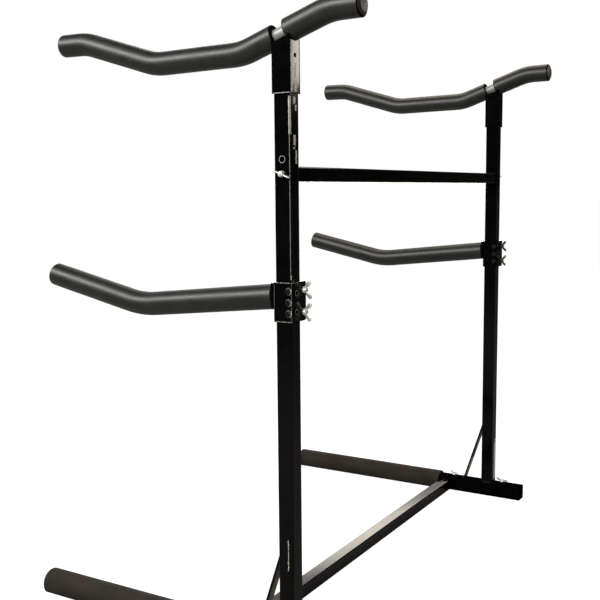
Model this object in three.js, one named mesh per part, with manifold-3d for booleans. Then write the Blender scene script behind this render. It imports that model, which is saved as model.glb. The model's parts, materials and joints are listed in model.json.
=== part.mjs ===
// Free-standing kayak stand: two square uprights with three levels of foam-sleeved arms on one side.
// Millimetres, +Z up. X runs along the arms, with the long arms towards -X. Y runs from the near
// upright to the far one. The origin is on the floor, in the middle of the stand's outline.
import * as THREE from 'three';
import { mergeVertices } from 'three/addons/utils/BufferGeometryUtils.js';
import Module from 'manifold-3d';

const wasm = await Module();
wasm.setup();

// Overall
const SPACING = 1416; // between the centre planes of the two uprights
const SEAT = 0.3; // gap that welded and seated neighbours keep
const OVERRUN = 20; // how far a cutting solid runs past what it cuts

// Upright
const POST_SIDE = 41.3;
const POST_WALL = 2;
const POST_CORNER = 2.5;
const CROSS_HOLE_RADIUS = 5.7;
const SPARE_HOLE_RISE = 33; // the spare crossbar hole above the used one

// Sleeve tube, one size up from the tube inside it
const SLEEVE_FIT = 0.6;
const SLEEVE_WALL = 3.2;
const SLEEVE_CORNER = 3.5;

// Base leg and its sleeve
const LEG_DIAMETER = 41.3;
const LEG_WALL = 2;
const LEG_REACH = 806; // from the upright's centre out to the leg's tip
const LEG_TAIL = 80; // how far the leg runs past the upright's centre inside its sleeve
const LEG_FOAM_DIAMETER = 72;
const BASE_FRONT = 187; // sleeve length towards the leg, from the upright's centre
const BASE_BACK = 121; // sleeve length behind the upright
const BASE_CAP_THICKNESS = 4;
const BASE_CAP_PLUG = 14;
const LOCK_BOLT_PLACES = { front: -134, back: 53 }; // wing bolts along the base sleeve

// Brace
const BRACE_WIDTH = 25.4;
const BRACE_THICKNESS = 6.35;
const BRACE_TOP = 270; // height where its outer face meets the upright
const BRACE_FOOT = 94; // distance of its outer face from the upright's centre, at the sleeve

// Spreader on the floor and crossbar
const SPREADER_SIDE = 38.1;
const SPREADER_WALL = 2;
const SPREADER_INSET = 6; // from the base sleeve's front end
const CROSSBAR_SIDE = 34.9;
const CROSSBAR_WALL = 2;
const CROSSBAR_CORNER = 2.5;
const CROSSBAR_HEIGHT = 1170;
const CROSSBAR_PLATE = 5;

// Arm tubes and their foam
const ARM_DIAMETER = 31.75;
const ARM_WALL = 2;
const ARM_FOAM_DIAMETER = 60.3;
const CRADLE_FOAM_DIAMETER = 57.15;
const FOAM_FIT = 0.35;

// Middle arm, heights above the middle of its bracket
const ARM_BRACKET_HEIGHTS = { near: 876, far: 900 };
const ARM_ROOT_RISE = 13.5;
const ARM_BEND_REACH = 437;
const ARM_BEND_DROP = 30.4;
const ARM_TIP_REACH = 740;
const ARM_TIP_RISE = 36;
const ARM_BEND_RADIUS = 260;

// Arm bracket
const BRACKET_HEIGHT = 93;
const BRACKET_PLATE = 4.8;
const BRACKET_FIT = 0.35;
const BRACKET_BEND = 6.4; // outer radius of its two folds
const BRACKET_BOLT_GAP = 2; // between the upright's back and the cross bolts
const BRACKET_BOLT_EDGE = 11.6; // from the cross bolts to the flanges' ends
const BRACKET_EAR_CHAMFER = 4;
const BOLT_PITCH = 26; // between the bracket's rows of bolts, one row at its middle
const SET_BOLT_PLACE = 17.5; // the set bolts off the upright's centre plane
const WELD_NUT_RISE = 22; // nuts welded on the flange, above and below its middle
const WELD_NUT_PLACE = -11;
const WELD_NUT_HEIGHT = 4;

// End plate that carries the middle arm
const ARM_PLATE_THICKNESS = 6;
const ARM_PLATE_HEIGHT = 61;
const ARM_PLATE_CORNER = 4;

// Cradle: the top tube's bend points, as reach from the upright's centre and rise above the crossbar
const CRADLE_TIP = [-678, 343];
const CRADLE_OUTER_BEND = [-599, 342];
const CRADLE_LOW_BEND = [-374, 274];
const CRADLE_ROOT_BEND = [-117, 278];
const CRADLE_SHORT_BEND = [116, 358];
const CRADLE_SHORT_TIP = [194, 359];
const CRADLE_BEND_RADIUS = 170;
const CRADLE_FOAM_FACE = -31.8;
const CRADLE_SHORT_FOAM_FACE = 7;
const CRADLE_SLEEVE_RISE = 180; // its foot above the crossbar's centre
const SADDLE_DROP = 12; // the sleeve's cut lies this far under the cradle tube's axis
const PIN_HOLE_RISE = 265;
const PIN_HOLE_RADIUS = 5.5;

// Fasteners
const CLAMP_BOLT = { radius: 4, across: 13, head: 5.3, flange: 8.5, rim: 1.6, tail: 10.5, bore: 4.35 };
const CLAMP_WING = { hub: 7.5, hubTop: 5.8, hubHeight: 9, reach: 17.5, rise: 19, thickness: 3, tip: 4 };
const LOCK_BOLT = { radius: 5, across: 17, nut: 5, bore: 5.4, show: 1 };
const LOCK_WING = { hub: 9, hubTop: 7, hubHeight: 10, reach: 22, rise: 20, thickness: 3.6, tip: 5 };
const CROSS_BOLT_TAIL = 9;
const WING_FOOT_SHARE = 0.12;
const WING_WAIST_SHARES = [0.6, 0.12];
const WING_ELBOW_SHARES = [0.86, 0.5];
const WING_BACK_SHARES = [0.42, 0.42];
const CROSS_WING_TILT = THREE.MathUtils.degToRad(-24);
const LOCK_WING_TILTS = { front: THREE.MathUtils.degToRad(80), back: THREE.MathUtils.degToRad(75) };
const CLAMP_WING_TILTS = { top: THREE.MathUtils.degToRad(8), bottom: THREE.MathUtils.degToRad(-6) };

// Tip caps
const CAP_RIM = 1.5;
const CAP_DOME = 4.5;
const CAP_PLUG = 18;
const ARM_CAP_DIAMETER = 48;
const LEG_CAP_DIAMETER = 58;

// Facets
const ROUND_SEGMENTS = 20;
const HALF_ROUND = 8;
const HOLE_SEGMENTS = 12;
const BOLT_SEGMENTS = 10;
const CORNER_SEGMENTS = 2;
const BEND_STEPS = 2;
const CAP_RINGS = 2;
const QUARTER = Math.PI / 2;
const TURN = Math.PI * 2;

// Sizes worked out from the ones above
const postHalf = POST_SIDE / 2;
const cradleSleeveSide = POST_SIDE + 2 * (SLEEVE_FIT + SLEEVE_WALL);
const baseSleeveSide = LEG_DIAMETER + 2 * (SLEEVE_FIT + SLEEVE_WALL);
const baseTop = baseSleeveSide;
const legAxis = baseSleeveSide / 2;
const armRadius = ARM_DIAMETER / 2;
const rootSlope = Math.atan2(
  CRADLE_SHORT_BEND[1] - CRADLE_ROOT_BEND[1],
  CRADLE_SHORT_BEND[0] - CRADLE_ROOT_BEND[0],
);
const bracketInner = postHalf + BRACKET_FIT;
const bracketOuter = bracketInner + BRACKET_PLATE;
const bracketBoltPlace = postHalf + BRACKET_BOLT_GAP + CLAMP_BOLT.radius;
const bracketReach = bracketBoltPlace + BRACKET_BOLT_EDGE;
const armPlateFace = bracketOuter + SEAT + ARM_PLATE_THICKNESS;
const spreaderPlace = BASE_FRONT - SPREADER_INSET - SPREADER_SIDE / 2;
const boltRows = [1, 0, -1].map((row) => row * BOLT_PITCH);

const blackSteel = new THREE.MeshStandardMaterial({ color: 0x0d0d0e, roughness: 0.38, metalness: 0.3 });
const brightSteel = new THREE.MeshStandardMaterial({ color: 0xc9c9c6, roughness: 0.3, metalness: 1 });
const zinc = new THREE.MeshStandardMaterial({ color: 0xd4d4ce, roughness: 0.28, metalness: 1 });
const foam = new THREE.MeshStandardMaterial({ color: 0x2a2b29, roughness: 0.8, metalness: 0 });
const capRubber = new THREE.MeshStandardMaterial({ color: 0x3c3d3d, roughness: 0.55, metalness: 0 });

// A closed geometry as a solid that can be cut and joined
function solidOf(geometry) {
  const bare = geometry.clone();
  bare.deleteAttribute('normal');
  bare.deleteAttribute('uv');
  const merged = mergeVertices(bare);
  return new wasm.Manifold(new wasm.Mesh({
    numProp: 3,
    vertProperties: Float32Array.from(merged.attributes.position.array),
    triVerts: Uint32Array.from(merged.index.array),
  }));
}

function geometryOf(solid) {
  const mesh = solid.getMesh();
  const geometry = new THREE.BufferGeometry();
  geometry.setAttribute('position', new THREE.BufferAttribute(mesh.vertProperties, 3));
  geometry.setIndex(new THREE.BufferAttribute(mesh.triVerts, 1));
  geometry.computeVertexNormals();
  return geometry;
}

function cut(geometry, cutters) {
  let solid = solidOf(geometry);
  for (const cutter of cutters) {
    solid = solid.subtract(solidOf(cutter));
  }
  return geometryOf(solid);
}

function join(geometries) {
  let solid = solidOf(geometries[0]);
  for (const geometry of geometries.slice(1)) {
    solid = solid.add(solidOf(geometry));
  }
  return geometryOf(solid);
}

function place(parent, name, geometry, material, position = [0, 0, 0], rotation = [0, 0, 0]) {
  const mesh = new THREE.Mesh(geometry, material);
  mesh.name = name;
  mesh.position.set(...position);
  mesh.rotation.set(...rotation);
  parent.add(mesh);
}

function roundedSquare(side, corner) {
  const half = side / 2;
  const inset = half - corner;
  const shape = new THREE.Shape();
  shape.absarc(inset, inset, corner, 0, QUARTER);
  shape.absarc(-inset, inset, corner, QUARTER, 2 * QUARTER);
  shape.absarc(-inset, -inset, corner, 2 * QUARTER, 3 * QUARTER);
  shape.absarc(inset, -inset, corner, 3 * QUARTER, TURN);
  shape.closePath();
  return shape;
}

// Square tube along +Z, standing on z = 0
function squareTube(side, wall, corner, length) {
  const shape = roundedSquare(side, corner);
  shape.holes.push(roundedSquare(side - 2 * wall, corner - wall / 2));
  return new THREE.ExtrudeGeometry(shape, {
    depth: length,
    bevelEnabled: false,
    curveSegments: CORNER_SEGMENTS,
  });
}

function drill(radius, length, segments = HOLE_SEGMENTS) {
  return new THREE.CylinderGeometry(radius, radius, length, segments);
}

function hexagon(across, bore = 0) {
  const radius = across / Math.sqrt(3);
  const shape = new THREE.Shape();
  for (let side = 0; side < 6; side += 1) {
    const angle = (side * TURN) / 6;
    const point = [radius * Math.cos(angle), radius * Math.sin(angle)];
    if (side === 0) {
      shape.moveTo(...point);
    } else {
      shape.lineTo(...point);
    }
  }
  shape.closePath();
  if (bore > 0) {
    const hole = new THREE.Path();
    hole.absarc(0, 0, bore, 0, TURN);
    shape.holes.push(hole);
  }
  return shape;
}

function hexNut(across, bore, height) {
  return new THREE.ExtrudeGeometry(hexagon(across, bore), {
    depth: height,
    bevelEnabled: false,
    curveSegments: BOLT_SEGMENTS / 2,
  });
}

// A planar run of straight lengths joined by arcs, sampled only where it bends
class BentRun extends THREE.Curve {
  constructor(corners, radius) {
    super();
    const points = corners.map(([x, z]) => new THREE.Vector3(x, 0, z));
    this.stations = [];
    const first = points[1].clone().sub(points[0]).normalize();
    this.addStation(points[0], first);
    for (let i = 1; i < points.length - 1; i += 1) {
      this.addBend(points[i - 1], points[i], points[i + 1], radius);
    }
    const last = points.at(-1).clone().sub(points.at(-2)).normalize();
    this.addStation(points.at(-1), last);
  }

  addStation(point, tangent) {
    this.stations.push({ point: point.clone(), tangent: tangent.clone() });
  }

  addBend(before, corner, after, radius) {
    const into = corner.clone().sub(before).normalize();
    const out = after.clone().sub(corner).normalize();
    const angle = into.angleTo(out);
    const setback = radius * Math.tan(angle / 2);
    const start = corner.clone().addScaledVector(into, -setback);
    const inward = out.clone().addScaledVector(into, -into.dot(out)).normalize();
    const centre = start.clone().addScaledVector(inward, radius);
    for (let step = 0; step <= BEND_STEPS; step += 1) {
      const swing = (angle * step) / BEND_STEPS;
      const point = centre.clone().addScaledVector(inward, -radius * Math.cos(swing));
      point.addScaledVector(into, radius * Math.sin(swing));
      const tangent = into.clone().multiplyScalar(Math.cos(swing));
      tangent.addScaledVector(inward, Math.sin(swing));
      this.addStation(point, tangent);
    }
  }

  get steps() {
    return this.stations.length - 1;
  }

  getUtoTmapping(u) {
    return u;
  }

  getPoint(t, target = new THREE.Vector3()) {
    const along = Math.min(t * this.steps, this.steps);
    const index = Math.min(Math.floor(along), this.steps - 1);
    return target.lerpVectors(this.stations[index].point, this.stations[index + 1].point, along - index);
  }

  getTangent(t, target = new THREE.Vector3()) {
    const index = Math.min(Math.round(t * this.steps), this.steps);
    return target.copy(this.stations[index].tangent);
  }
}

// Round tube swept along a bent run, open at both ends
function sweptTube(run, outer, inner) {
  const shape = new THREE.Shape();
  shape.absarc(0, 0, outer, 0, TURN);
  const bore = new THREE.Path();
  bore.absarc(0, 0, inner, 0, TURN);
  shape.holes.push(bore);
  return new THREE.ExtrudeGeometry(shape, {
    steps: run.steps,
    extrudePath: run,
    curveSegments: HALF_ROUND,
  });
}

// Straight round tube along +X, from x = 0
function straightTube(outer, inner, length) {
  const profile = [
    new THREE.Vector2(inner, 0),
    new THREE.Vector2(outer, 0),
    new THREE.Vector2(outer, length),
    new THREE.Vector2(inner, length),
    new THREE.Vector2(inner, 0),
  ];
  const tube = new THREE.LatheGeometry(profile, ROUND_SEGMENTS);
  tube.rotateZ(-QUARTER);
  return tube;
}

// Tip cap: a domed head on a plug, its seat on z = 0 and its dome towards +Z
function tipCap(diameter, plugRadius) {
  const radius = diameter / 2;
  const profile = [
    new THREE.Vector2(0, -CAP_PLUG),
    new THREE.Vector2(plugRadius, -CAP_PLUG),
    new THREE.Vector2(plugRadius, 0),
    new THREE.Vector2(radius, 0),
    new THREE.Vector2(radius, CAP_RIM),
  ];
  for (let ring = 1; ring <= CAP_RINGS; ring += 1) {
    const angle = (QUARTER * ring) / CAP_RINGS;
    const across = ring === CAP_RINGS ? 0 : radius * Math.cos(angle);
    profile.push(new THREE.Vector2(across, CAP_RIM + CAP_DOME * Math.sin(angle)));
  }
  const cap = new THREE.LatheGeometry(profile, 2 * HALF_ROUND);
  cap.rotateX(QUARTER);
  return cap;
}

// One wing, in the XZ plane, from the axis out to +X
function wing(size) {
  const { reach, rise, tip, thickness, hubHeight } = size;
  const shape = new THREE.Shape();
  shape.moveTo(0, rise * WING_FOOT_SHARE);
  shape.quadraticCurveTo(
    reach * WING_WAIST_SHARES[0],
    rise * WING_WAIST_SHARES[1],
    reach * WING_ELBOW_SHARES[0],
    rise * WING_ELBOW_SHARES[1],
  );
  shape.absarc(reach - tip, rise - tip, tip, 0, 2 * QUARTER);
  shape.quadraticCurveTo(reach * WING_BACK_SHARES[0], rise * WING_BACK_SHARES[1], 0, hubHeight - thickness);
  shape.closePath();
  const plate = new THREE.ExtrudeGeometry(shape, {
    depth: thickness,
    bevelEnabled: false,
    curveSegments: CORNER_SEGMENTS,
  });
  plate.rotateX(QUARTER);
  plate.translate(0, thickness / 2, 0);
  return plate;
}

function hub(size) {
  const profile = [
    new THREE.Vector2(0, 0),
    new THREE.Vector2(size.hub, 0),
    new THREE.Vector2(size.hub, size.thickness),
    new THREE.Vector2(size.hubTop, size.hubHeight),
    new THREE.Vector2(0, size.hubHeight),
  ];
  const body = new THREE.LatheGeometry(profile, HOLE_SEGMENTS);
  body.rotateX(QUARTER);
  return body;
}

function wingedHub(size) {
  const right = wing(size);
  const left = wing(size);
  left.rotateZ(2 * QUARTER);
  return join([hub(size), right, left]);
}

// Wing nut on z = 0, bored through along +Z
function wingNut(size, bore) {
  const through = drill(bore, 2 * (size.hubHeight + OVERRUN));
  through.rotateX(QUARTER);
  return cut(wingedHub(size), [through]);
}

// Wing bolt: its hub on z = 0, its shank towards -Z
function wingBolt(size, radius, length) {
  const shank = drill(radius, length + size.thickness, BOLT_SEGMENTS);
  shank.rotateX(QUARTER);
  shank.translate(0, 0, (size.thickness - length) / 2);
  return join([wingedHub(size), shank]);
}

// Flanged hex bolt: its head under z = 0, its shank towards +Z
function hexBolt(size, length) {
  const head = new THREE.ExtrudeGeometry(hexagon(size.across), { depth: size.head, bevelEnabled: false });
  head.translate(0, 0, -size.head);
  const flange = drill(size.flange, size.rim);
  flange.rotateX(QUARTER);
  flange.translate(0, 0, -size.rim / 2);
  const shank = drill(size.radius, length + size.head / 2, BOLT_SEGMENTS);
  shank.rotateX(QUARTER);
  shank.translate(0, 0, (length - size.head / 2) / 2);
  return join([head, flange, shank]);
}

// Rise of the cradle tube's axis above the crossbar, over a place beside the upright
function cradleAxisRise(x) {
  return CRADLE_ROOT_BEND[1] + (x - CRADLE_ROOT_BEND[0]) * Math.tan(rootSlope);
}

function addUpright(side, name) {
  const foot = baseTop + SEAT;
  const top = CROSSBAR_HEIGHT + cradleAxisRise(-postHalf) - armRadius / Math.cos(rootSlope) - SEAT;
  const cutters = [];
  for (const rise of [0, SPARE_HOLE_RISE]) {
    const across = drill(CROSS_HOLE_RADIUS, POST_SIDE + OVERRUN);
    across.translate(0, 0, CROSSBAR_HEIGHT + rise - foot);
    cutters.push(across);
  }
  const pin = drill(PIN_HOLE_RADIUS, OVERRUN);
  pin.rotateZ(QUARTER);
  pin.translate(postHalf, 0, CROSSBAR_HEIGHT + PIN_HOLE_RISE - foot);
  cutters.push(pin);
  const post = cut(squareTube(POST_SIDE, POST_WALL, POST_CORNER, top - foot), cutters);
  place(side, `${name}_upright`, post, blackSteel, [0, 0, foot]);
}

function addBaseSleeve(side, name) {
  const length = BASE_FRONT + BASE_BACK;
  const sleeve = squareTube(baseSleeveSide, SLEEVE_WALL, SLEEVE_CORNER, length);
  sleeve.rotateY(QUARTER);
  sleeve.translate(-BASE_FRONT, 0, legAxis);
  const weldNuts = [];
  const threads = [];
  for (const x of Object.values(LOCK_BOLT_PLACES)) {
    const nut = hexNut(LOCK_BOLT.across, 0, LOCK_BOLT.nut + SLEEVE_WALL / 2);
    nut.translate(x, 0, baseTop - SLEEVE_WALL / 2);
    weldNuts.push(nut);
    const thread = drill(LOCK_BOLT.bore, 2 * OVERRUN);
    thread.rotateX(QUARTER);
    thread.translate(x, 0, baseTop);
    threads.push(thread);
  }
  place(side, `${name}_base_sleeve`, cut(join([sleeve, ...weldNuts]), threads), blackSteel);

  const head = new THREE.ExtrudeGeometry(roundedSquare(baseSleeveSide, SLEEVE_CORNER), {
    depth: BASE_CAP_THICKNESS,
    bevelEnabled: false,
    curveSegments: CORNER_SEGMENTS,
  });
  const plugSide = baseSleeveSide - 2 * (SLEEVE_WALL + SEAT);
  const plug = new THREE.ExtrudeGeometry(roundedSquare(plugSide, SLEEVE_CORNER - SLEEVE_WALL / 2), {
    depth: BASE_CAP_PLUG + BASE_CAP_THICKNESS / 2,
    bevelEnabled: false,
    curveSegments: CORNER_SEGMENTS,
  });
  plug.translate(0, 0, -BASE_CAP_PLUG);
  const cap = join([head, plug]);
  place(side, `${name}_base_sleeve_cap`, cap, capRubber, [BASE_BACK + SEAT, 0, legAxis], [0, QUARTER, 0]);
}

function addBrace(side, name) {
  const face = -(postHalf + SEAT);
  const seat = baseTop + SEAT;
  const lean = Math.atan2(BRACE_FOOT + face, BRACE_TOP - seat);
  const shape = new THREE.Shape();
  shape.moveTo(face, BRACE_TOP);
  shape.lineTo(-BRACE_FOOT, seat);
  shape.lineTo(-BRACE_FOOT + BRACE_THICKNESS / Math.cos(lean), seat);
  shape.lineTo(face, BRACE_TOP - BRACE_THICKNESS / Math.sin(lean));
  shape.closePath();
  const bar = new THREE.ExtrudeGeometry(shape, { depth: BRACE_WIDTH, bevelEnabled: false });
  bar.rotateX(QUARTER);
  bar.translate(0, BRACE_WIDTH / 2, 0);
  place(side, `${name}_brace`, bar, blackSteel);
}

function addLeg(side, name) {
  const outer = LEG_DIAMETER / 2;
  const bore = outer - LEG_WALL;
  const tube = straightTube(outer, bore, LEG_REACH + LEG_TAIL);
  place(side, `${name}_leg_tube`, tube, brightSteel, [-LEG_REACH, 0, legAxis]);

  const sleeveFoam = straightTube(LEG_FOAM_DIAMETER / 2, outer + FOAM_FIT, LEG_REACH - BASE_FRONT - SEAT);
  sleeveFoam.translate(0, 0, legAxis);
  const floor = new THREE.BoxGeometry(3 * LEG_REACH, 2 * LEG_FOAM_DIAMETER, LEG_FOAM_DIAMETER);
  floor.translate(0, 0, -LEG_FOAM_DIAMETER / 2);
  place(side, `${name}_leg_foam`, cut(sleeveFoam, [floor]), foam, [-LEG_REACH, 0, 0]);

  const cap = tipCap(LEG_CAP_DIAMETER, bore - SEAT);
  const capHalf = new THREE.BoxGeometry(LEG_CAP_DIAMETER, 2 * LEG_CAP_DIAMETER, LEG_CAP_DIAMETER * 2);
  capHalf.translate(-(LEG_CAP_DIAMETER / 2 + legAxis), 0, 0);
  const flatCap = cut(cap, [capHalf]);
  flatCap.rotateY(-QUARTER);
  place(side, `${name}_leg_cap`, flatCap, capRubber, [-LEG_REACH - SEAT, 0, legAxis]);
}

function addLockBolts(side, name) {
  const hubSeat = baseTop + LOCK_BOLT.nut + LOCK_BOLT.show;
  const tip = legAxis + LEG_DIAMETER / 2 + SEAT;
  for (const [spot, x] of Object.entries(LOCK_BOLT_PLACES)) {
    const bolt = wingBolt(LOCK_WING, LOCK_BOLT.radius, hubSeat - tip);
    place(side, `${name}_lock_wing_bolt_${spot}`, bolt, zinc, [x, 0, hubSeat], [0, 0, LOCK_WING_TILTS[spot]]);
  }
}

function addCrossbarBolt(side, name, outward) {
  const length = POST_SIDE + 2 * SEAT + CROSSBAR_PLATE + CROSS_BOLT_TAIL;
  const bolt = wingBolt(LOCK_WING, LOCK_BOLT.radius, length);
  const seat = outward * (postHalf + SEAT);
  const turn = [-outward * QUARTER, 0, CROSS_WING_TILT];
  place(side, `${name}_crossbar_wing_bolt`, bolt, zinc, [0, seat, CROSSBAR_HEIGHT], turn);

  const plate = new THREE.ExtrudeGeometry(roundedSquare(CROSSBAR_SIDE, CROSSBAR_CORNER), {
    depth: CROSSBAR_PLATE,
    bevelEnabled: false,
    curveSegments: CORNER_SEGMENTS,
  });
  const thread = drill(LOCK_BOLT.bore, 2 * (CROSSBAR_PLATE + OVERRUN));
  thread.rotateX(QUARTER);
  const drilled = cut(plate, [thread]);
  const plateSeat = [0, -outward * (postHalf + SEAT), CROSSBAR_HEIGHT];
  place(side, `${name}_crossbar_end_plate`, drilled, blackSteel, plateSeat, [outward * QUARTER, 0, 0]);
}

// Outline of the U bracket, drawn open towards +X
function bracketOutline() {
  const bend = BRACKET_BEND;
  const fold = bend - BRACKET_PLATE;
  const shape = new THREE.Shape();
  shape.moveTo(bracketReach, bracketOuter);
  shape.absarc(-bracketOuter + bend, bracketOuter - bend, bend, QUARTER, 2 * QUARTER);
  shape.absarc(-bracketOuter + bend, -bracketOuter + bend, bend, 2 * QUARTER, 3 * QUARTER);
  shape.lineTo(bracketReach, -bracketOuter);
  shape.lineTo(bracketReach, -bracketInner);
  shape.absarc(-bracketInner + fold, -bracketInner + fold, fold, 3 * QUARTER, 2 * QUARTER, true);
  shape.absarc(-bracketInner + fold, bracketInner - fold, fold, 2 * QUARTER, QUARTER, true);
  shape.lineTo(bracketReach, bracketInner);
  shape.closePath();
  return shape;
}

// Everything that is cut out of the bracket, in the clamp's own frame
function bracketCutters() {
  const cutters = [];
  for (const height of [boltRows.at(0), boltRows.at(-1)]) {
    const across = drill(CLAMP_BOLT.bore, 2 * (bracketOuter + OVERRUN));
    across.rotateZ(QUARTER);
    across.translate(0, bracketBoltPlace, height);
    cutters.push(across);
  }
  for (const height of boltRows) {
    const through = drill(CLAMP_BOLT.bore, 2 * BRACKET_BEND);
    through.translate(SET_BOLT_PLACE, -bracketOuter, height);
    cutters.push(through);
  }
  for (const height of [WELD_NUT_RISE, -WELD_NUT_RISE]) {
    const thread = drill(CLAMP_BOLT.bore, 2 * (BRACKET_PLATE + WELD_NUT_HEIGHT));
    thread.rotateZ(QUARTER);
    thread.translate(bracketOuter, WELD_NUT_PLACE, height);
    cutters.push(thread);
  }
  for (const end of [1, -1]) {
    const width = BRACKET_EAR_CHAMFER * Math.SQRT2;
    const corner = new THREE.BoxGeometry(2 * (bracketOuter + OVERRUN), width, width);
    corner.rotateX(QUARTER / 2);
    corner.translate(0, bracketReach, (end * BRACKET_HEIGHT) / 2);
    cutters.push(corner);
  }
  return cutters;
}

function bracketWeldNuts() {
  return [WELD_NUT_RISE, -WELD_NUT_RISE].map((height) => {
    const nut = hexNut(CLAMP_BOLT.across, 0, WELD_NUT_HEIGHT + BRACKET_PLATE / 2);
    nut.rotateY(QUARTER);
    nut.translate(bracketOuter - BRACKET_PLATE / 2, WELD_NUT_PLACE, height);
    return nut;
  });
}

function addBracket(clamp, name) {
  const channel = new THREE.ExtrudeGeometry(bracketOutline(), {
    depth: BRACKET_HEIGHT,
    bevelEnabled: false,
    curveSegments: CORNER_SEGMENTS,
  });
  channel.rotateZ(QUARTER);
  channel.translate(0, 0, -BRACKET_HEIGHT / 2);
  const bracket = cut(join([channel, ...bracketWeldNuts()]), bracketCutters());
  place(clamp, `${name}_arm_bracket`, bracket, blackSteel);

  const seat = bracketOuter + SEAT;
  for (const [spot, height] of Object.entries({ top: boltRows.at(0), bottom: boltRows.at(-1) })) {
    const bolt = hexBolt(CLAMP_BOLT, 2 * seat + CLAMP_BOLT.tail);
    const boltSeat = [-seat, bracketBoltPlace, height];
    place(clamp, `${name}_bracket_bolt_${spot}`, bolt, zinc, boltSeat, [0, QUARTER, 0]);
    const nut = wingNut(CLAMP_WING, CLAMP_BOLT.bore);
    const turn = [0, QUARTER, CLAMP_WING_TILTS[spot]];
    place(clamp, `${name}_bracket_wing_nut_${spot}`, nut, zinc, [seat, bracketBoltPlace, height], turn);
  }
  boltRows.forEach((height, row) => {
    const bolt = hexBolt(CLAMP_BOLT, bracketOuter - postHalf);
    const spot = [SET_BOLT_PLACE, -seat, height];
    place(clamp, `${name}_bracket_set_bolt_${row + 1}`, bolt, blackSteel, spot, [-QUARTER, 0, 0]);
  });
}

function addArmPlate(clamp, name) {
  const front = -bracketOuter;
  const back = bracketBoltPlace - CLAMP_BOLT.flange - SEAT;
  const halfHeight = ARM_PLATE_HEIGHT / 2;
  const corner = ARM_PLATE_CORNER;
  const shape = new THREE.Shape();
  shape.moveTo(halfHeight, front + corner);
  shape.lineTo(halfHeight, back - corner);
  shape.lineTo(halfHeight - corner, back);
  shape.lineTo(-halfHeight + corner, back);
  shape.lineTo(-halfHeight, back - corner);
  shape.lineTo(-halfHeight, front + corner);
  shape.lineTo(-halfHeight + corner, front);
  shape.lineTo(halfHeight - corner, front);
  shape.closePath();
  const plate = new THREE.ExtrudeGeometry(shape, { depth: ARM_PLATE_THICKNESS, bevelEnabled: false });
  const seat = [-(bracketOuter + SEAT), 0, ARM_ROOT_RISE];
  place(clamp, `${name}_arm_plate`, plate, blackSteel, seat, [0, -QUARTER, 0]);
}

// A point between two corners of a run, at a given reach
function pointAtReach(from, to, x) {
  const share = (x - from[0]) / (to[0] - from[0]);
  return [x, from[1] + share * (to[1] - from[1])];
}

function addTipCap(parent, name, tip, before, plugRadius) {
  const direction = new THREE.Vector3(tip[0] - before[0], 0, tip[1] - before[1]).normalize();
  const seat = [tip[0] + direction.x * SEAT, 0, tip[1] + direction.z * SEAT];
  const turn = [0, Math.atan2(direction.x, direction.z), 0];
  place(parent, name, tipCap(ARM_CAP_DIAMETER, plugRadius), capRubber, seat, turn);
}

function addMiddleArm(clamp, name) {
  const root = [0, ARM_ROOT_RISE];
  const bend = [-ARM_BEND_REACH, -ARM_BEND_DROP];
  const tip = [-ARM_TIP_REACH, ARM_TIP_RISE];
  const bore = armRadius - ARM_WALL;
  const run = new BentRun([tip, bend, root], ARM_BEND_RADIUS);
  const tube = sweptTube(run, armRadius, bore);
  const weldReach = 2 * (armPlateFace + SEAT);
  const weldFace = new THREE.BoxGeometry(weldReach, 2 * ARM_FOAM_DIAMETER, 2 * BRACKET_HEIGHT);
  place(clamp, `${name}_arm_tube`, cut(tube, [weldFace]), brightSteel);

  const sleeveFoam = sweptTube(run, ARM_FOAM_DIAMETER / 2, armRadius + FOAM_FIT);
  place(clamp, `${name}_arm_foam`, cut(sleeveFoam, [weldFace]), foam);
  addTipCap(clamp, `${name}_arm_cap`, tip, bend, bore - SEAT);
}

function addCradleSleeve(cradle, name) {
  const length = cradleAxisRise(cradleSleeveSide) - CRADLE_SLEEVE_RISE;
  const sleeve = squareTube(cradleSleeveSide, SLEEVE_WALL, SLEEVE_CORNER, length);
  sleeve.translate(0, 0, CRADLE_SLEEVE_RISE);
  const above = new THREE.BoxGeometry(4 * cradleSleeveSide, 2 * cradleSleeveSide, 2 * cradleSleeveSide);
  above.translate(0, 0, cradleSleeveSide - SADDLE_DROP);
  above.rotateY(-rootSlope);
  above.translate(0, 0, cradleAxisRise(0));
  const saddle = drill(armRadius + SEAT, 4 * cradleSleeveSide, ROUND_SEGMENTS);
  saddle.rotateZ(QUARTER);
  saddle.rotateY(-rootSlope);
  saddle.translate(0, 0, cradleAxisRise(0));
  const pin = drill(PIN_HOLE_RADIUS, OVERRUN);
  pin.rotateZ(QUARTER);
  pin.translate(cradleSleeveSide / 2, 0, PIN_HOLE_RISE);
  place(cradle, `${name}_cradle_sleeve`, cut(sleeve, [above, saddle, pin]), blackSteel);
}

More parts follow.
